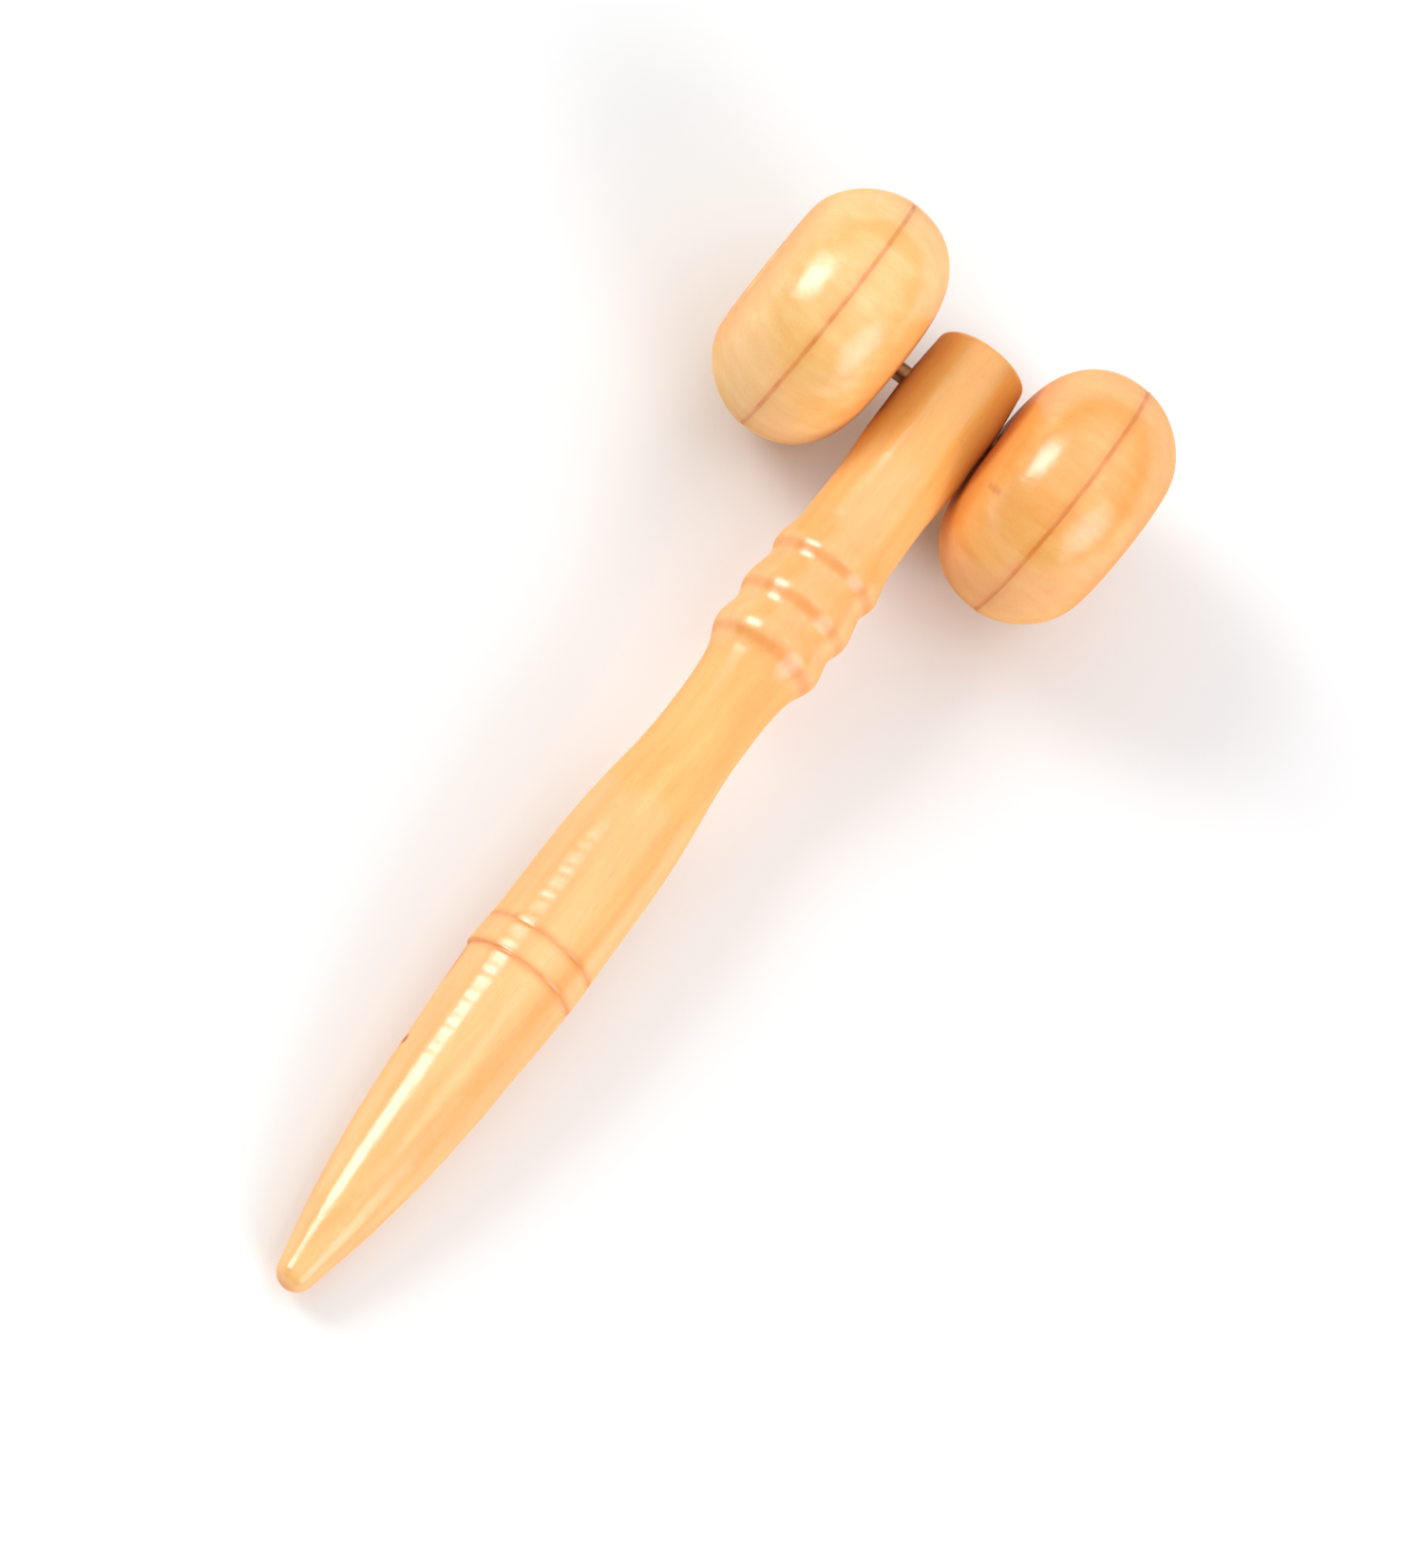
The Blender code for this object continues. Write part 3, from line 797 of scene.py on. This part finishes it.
def make_handle():
    """The handle: scored rings with amber bands, brown flecks and a worn grip, and painted shade
    on the bead walls, on the swell's left edge, over the head and where the rollers meet it.
    """
    place = PLACES["handle"]
    handle = turned(
        "turned_handle", handle_outline(), HANDLE_SEGMENTS, place, swell=handle_swell
    )
    bore_head(handle)
    rings = [(station, RING_HALF_WIDTH, RING_MARK_STRENGTH) for station in RING_STATIONS]
    bands = [(station, RING_HALF_WIDTH * 2, RING_AMBER_STRENGTH) for station in RING_STATIONS]
    # Painted shade on the bead walls that face the tip, away from the lights.
    bands += [(wall, WALL_SHADE_HALF_WIDTH, WALL_SHADE_STRENGTH) for wall in BEAD_WALLS]
    wood = varnished_wood(
        "handle_wood", place, rings, HANDLE_FLECK_AND_EDGE_SHADE, HANDLE_HEART, HANDLE_TONES, HANDLE_SEED, bands,
        HEAD_SHADE_STATIONS, HEAD_CONTACT_SHADE, WORN_STATIONS,
    )
    adopt(handle, "handle_body", "handle", wood)


def make_roller(side_name, flecks, heart, tones, seed):
    """One roller: its scorched line round its widest place, and painted shade on its inner face."""
    place = PLACES[side_name]
    roller = turned(
        f"turned_roller_{side_name}", roller_outline(), ROLLER_SEGMENTS, place, ring=True
    )
    scores = [(0.0, SCORE_MARK_HALF_WIDTH, SCORE_MARK_STRENGTH)]
    wood = varnished_wood(
        f"roller_{side_name}_wood", place, scores, flecks, heart, tones, seed,
        contact_shade=ROLLER_CONTACT_SHADE,
    )
    adopt(roller, f"{side_name}_roller", f"roller_{side_name}", wood)


def make_steel():
    """The axle, washers and caps, each placed by the middle of its CAD node's box."""
    axle_steel = worn_steel(
        "axle_steel", PLACES["left"], AXLE_COLOUR, AXLE_TARNISH, AXLE_ROUGHNESS
    )
    zinc = worn_steel(
        "zinc_plate", PLACES["left"], ZINC_COLOUR, ZINC_TARNISH, ZINC_ROUGHNESS, turned_marks=True
    )
    low, high = (Vector(corner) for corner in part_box("axle"))
    place = PLACES["left"].copy()
    place.translation = (low + high) / 2
    axle = turned("axle_rod", axle_outline((high.y - low.y) / 2 / MM), STEEL_SEGMENTS, place)
    adopt(axle, "handle_body", "axle", axle_steel)
    for side_name, side in (("left", 1), ("right", -1)):
        low, high = (Vector(corner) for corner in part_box(f"washer_{side_name}"))
        place = PLACES[side_name].copy()
        place.translation = (low + high) / 2
        washer = turned(
            f"flat_washer_{side_name}", washer_outline(), STEEL_SEGMENTS, place, ring=True
        )
        adopt(washer, f"{side_name}_float", f"washer_{side_name}", zinc)
        low, high = (Vector(corner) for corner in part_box(f"cap_{side_name}"))
        place = PLACES[side_name].copy()
        place.translation = (low + high) / 2 - Vector((0, side * (high.y - low.y) / 2, 0))
        cap = turned(f"push_cap_{side_name}", cap_outline(), STEEL_SEGMENTS, place)
        adopt(cap, "handle_body", f"cap_{side_name}", zinc)


def make_floor():
    """A plain pale floor, one wide sheet."""
    mesh_maker = bmesh.new()
    bmesh.ops.create_grid(mesh_maker, x_segments=8, y_segments=8, size=FLOOR_REACH)
    mesh = bpy.data.meshes.new("floor")
    mesh_maker.to_mesh(mesh)
    mesh_maker.free()
    floor = bpy.data.objects.new("floor", mesh)
    bpy.context.scene.collection.objects.link(floor)
    n = Nodes("floor_white")
    n.set(Base_Color=linear(*FLOOR_COLOUR), Roughness=FLOOR_ROUGHNESS)
    mesh.materials.append(n.material)


def make_softbox(name, towards, width_angle, height_angle, radiance, colour):
    """A rectangular area light in a direction from the object, over two angles in degrees."""
    width, height = (
        2 * LIGHT_DISTANCE * math.tan(math.radians(angle / 2))
        for angle in (width_angle, height_angle)
    )
    light = bpy.data.lights.new(name, "AREA")
    light.shape = "RECTANGLE"
    light.size = width
    light.size_y = height
    light.energy = radiance * math.pi * width * height
    light.color = colour
    lamp = bpy.data.objects.new(name, light)
    bpy.context.scene.collection.objects.link(lamp)
    back = Vector(towards).normalized()
    across = Vector((1, 0, 0))
    across = (across - back * across.dot(back)).normalized()
    turn = Matrix((across, back.cross(across), back)).transposed().to_4x4()
    lamp.matrix_world = Matrix.Translation(LIGHT_TARGET + back * LIGHT_DISTANCE) @ turn


def make_sky():
    """A soft sky, brighter overhead and towards the head's end."""
    world = bpy.data.worlds.new("studio")
    bpy.context.scene.world = world
    world.use_nodes = True
    tree = world.node_tree
    background = tree.nodes["Background"]
    direction = tree.nodes.new("ShaderNodeTexCoord")
    split = tree.nodes.new("ShaderNodeSeparateXYZ")
    sky = tree.nodes.new("ShaderNodeValToRGB")
    sky.color_ramp.interpolation = "EASE"
    for index, (height, radiance) in enumerate(SKY):
        stop = sky.color_ramp.elements[index] if index < 2 else sky.color_ramp.elements.new(height)
        stop.position = height
        stop.color = (radiance, radiance, radiance, 1.0)
    lean = tree.nodes.new("ShaderNodeMath")
    lean.operation = "MULTIPLY_ADD"
    lean.inputs[1].default_value = SKY_LEAN
    lean.inputs[2].default_value = 1.0
    tree.links.new(direction.outputs["Generated"], split.inputs["Vector"])
    tree.links.new(split.outputs["Z"], sky.inputs["Fac"])
    tree.links.new(sky.outputs["Color"], background.inputs["Color"])
    tree.links.new(split.outputs["X"], lean.inputs[0])
    tree.links.new(lean.outputs[0], background.inputs["Strength"])


def make_camera():
    """A view steeply down on the handle from behind its tip, rolled to one side."""
    camera = bpy.data.cameras.new("camera")
    camera.lens = CAMERA_LENS
    camera.sensor_width = CAMERA_SENSOR
    camera.clip_end = CAMERA_FAR_LIMIT
    holder = bpy.data.objects.new("camera", camera)
    bpy.context.scene.collection.objects.link(holder)
    ahead = Vector((
        math.cos(CAMERA_DOWN) * math.cos(CAMERA_HEADING),
        math.cos(CAMERA_DOWN) * math.sin(CAMERA_HEADING),
        -math.sin(CAMERA_DOWN),
    ))
    level = ahead.cross(Vector((0, 0, 1))).normalized()
    rise = level.cross(ahead)
    right = level * math.cos(CAMERA_ROLL) + rise * math.sin(CAMERA_ROLL)
    above = rise * math.cos(CAMERA_ROLL) - level * math.sin(CAMERA_ROLL)
    turn = Matrix((right, above, -ahead)).transposed().to_4x4()
    holder.matrix_world = Matrix.Translation(CAMERA_TARGET - ahead * CAMERA_DISTANCE) @ turn
    bpy.context.scene.camera = holder


PLACES = places()
make_handle()
for side_name, wood in ROLLERS.items():
    make_roller(side_name, *wood)
make_steel()
make_floor()
make_sky()
for name, softbox in SOFTBOXES.items():
    make_softbox(name, *softbox)
make_camera()
bpy.context.scene.view_settings.view_transform = "Standard"
